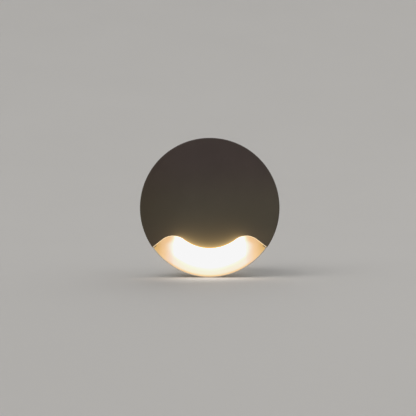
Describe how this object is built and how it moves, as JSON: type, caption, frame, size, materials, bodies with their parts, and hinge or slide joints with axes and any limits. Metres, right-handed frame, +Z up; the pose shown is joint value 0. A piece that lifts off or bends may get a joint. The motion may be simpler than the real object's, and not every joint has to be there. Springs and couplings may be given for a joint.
{
  "type": "recessed light",
  "caption": "Round recessed wall light: disc cover with a curved light opening at its foot, opal diffuser, finned housing, spring clips and rear cable gland.",
  "frame": {"origin": "centre of the sealing face, in the plane of the wall", "axes": "+Y into the wall, +Z up, +X to the right as seen from in front; the cover faces -Y"},
  "size_m": [0.0812, 0.0658, 0.0812],
  "materials": {
    "front_cover": "powder coat, warm dark grey as it is seen, fine texture, matt",
    "cover_magnets": "nickel plated",
    "housing": "die cast, white powder coat",
    "wall_gasket": "closed-cell foam rubber, matt",
    "diffuser": "opal, lit from behind",
    "diffuser_gasket": "silicone, matt",
    "diffuser_screws": "stainless",
    "magnet_keepers": "zinc plated",
    "keeper_screws": "stainless",
    "reflector": "white, satin",
    "led_board": "white solder mask on a metal core",
    "led_packages": "phosphor in a white frame",
    "thermal_pad": "silicone, matt",
    "led_board_screws": "stainless",
    "led_wire_red": "silicone insulation",
    "led_wire_black": "silicone insulation",
    "wire_grommets": "silicone, matt",
    "driver_board": "green solder mask",
    "driver_board_screws": "zinc plated",
    "transformer": "yellow tape over a ferrite core",
    "bulk_capacitor": "dark blue sleeve",
    "output_capacitor": "dark blue sleeve",
    "film_capacitor": "moulded case",
    "input_choke": "enamelled copper on a ferrite drum",
    "bridge_rectifier": "moulded, tinned legs",
    "driver_chip": "moulded, tinned legs",
    "fuse": "glass tube, plated ends",
    "terminal_block": "green",
    "terminal_screws": "nickel plated",
    "rear_cap": "black, fine texture",
    "rear_cap_gasket": "silicone, matt",
    "rear_cap_screws": "stainless",
    "gland_washer": "matt",
    "gland_body": "black nylon",
    "gland_locknut": "black nylon",
    "gland_seal": "matt",
    "gland_nut": "black nylon",
    "clip_bracket_left": "stainless sheet",
    "clip_bracket_right": "stainless sheet",
    "bracket_rivets": "mill finish",
    "clip_pin_left": "stainless",
    "clip_pin_right": "stainless",
    "clip_spring_left": "spring wire",
    "clip_spring_right": "spring wire",
    "clip_arm_left": "stainless sheet",
    "clip_arm_right": "stainless sheet",
    "clip_pad_left": "matt",
    "clip_pad_right": "matt"
  },
  "bodies": {
    "housing": {"housing": "housing", "wall_gasket": "wall_gasket", "diffuser": "diffuser", "diffuser_gasket": "diffuser_gasket", "diffuser_screws": "diffuser_screws", "magnet_keepers": "magnet_keepers", "keeper_screws": "keeper_screws", "reflector": "reflector", "led_board": "led_board", "led_packages": "led_packages", "thermal_pad": "thermal_pad", "led_board_screws": "led_board_screws", "led_wire_red": "led_wire_red", "led_wire_black": "led_wire_black", "wire_grommets": "wire_grommets", "driver_board": "driver_board", "driver_board_screws": "driver_board_screws", "transformer": "transformer", "bulk_capacitor": "bulk_capacitor", "output_capacitor": "output_capacitor", "film_capacitor": "film_capacitor", "input_choke": "input_choke", "bridge_rectifier": "bridge_rectifier", "driver_chip": "driver_chip", "fuse": "fuse", "terminal_block": "terminal_block", "terminal_screws": "terminal_screws", "rear_cap": "rear_cap", "rear_cap_gasket": "rear_cap_gasket", "rear_cap_screws": "rear_cap_screws", "gland_washer": "gland_washer", "gland_body": "gland_body", "gland_locknut": "gland_locknut", "gland_seal": "gland_seal", "gland_nut": "gland_nut", "clip_bracket_left": "clip_bracket_left", "clip_bracket_right": "clip_bracket_right", "bracket_rivets": "bracket_rivets", "clip_pin_left": "clip_pin_left", "clip_pin_right": "clip_pin_right", "clip_spring_left": "clip_spring_left", "clip_spring_right": "clip_spring_right"},
    "front_cover": {"front_cover": "front_cover", "cover_magnets": "cover_magnets"},
    "clip_left": {"clip_arm_left": "clip_arm_left", "clip_pad_left": "clip_pad_left"},
    "clip_right": {"clip_arm_right": "clip_arm_right", "clip_pad_right": "clip_pad_right"}
  },
  "joints": [
    {"name": "cover_pull", "type": "slide", "parent": "housing", "child": "front_cover", "axis": [0, -1, 0], "range_m": [0, 0.03]},
    {"name": "clip_left_hinge", "type": "hinge", "parent": "housing", "child": "clip_left", "pos_m": [-0.0304, 0.024, 0], "axis": [0, 0, -1], "range_deg": [0, 158], "stiffness_Nm_per_rad": 0.03, "springref_deg": -51.57, "deforming": ["clip_spring_left"]},
    {"name": "clip_right_hinge", "type": "hinge", "parent": "housing", "child": "clip_right", "pos_m": [0.0304, 0.024, 0], "axis": [0, 0, 1], "range_deg": [0, 158], "stiffness_Nm_per_rad": 0.03, "springref_deg": -51.57, "deforming": ["clip_spring_right"]}
  ]
}
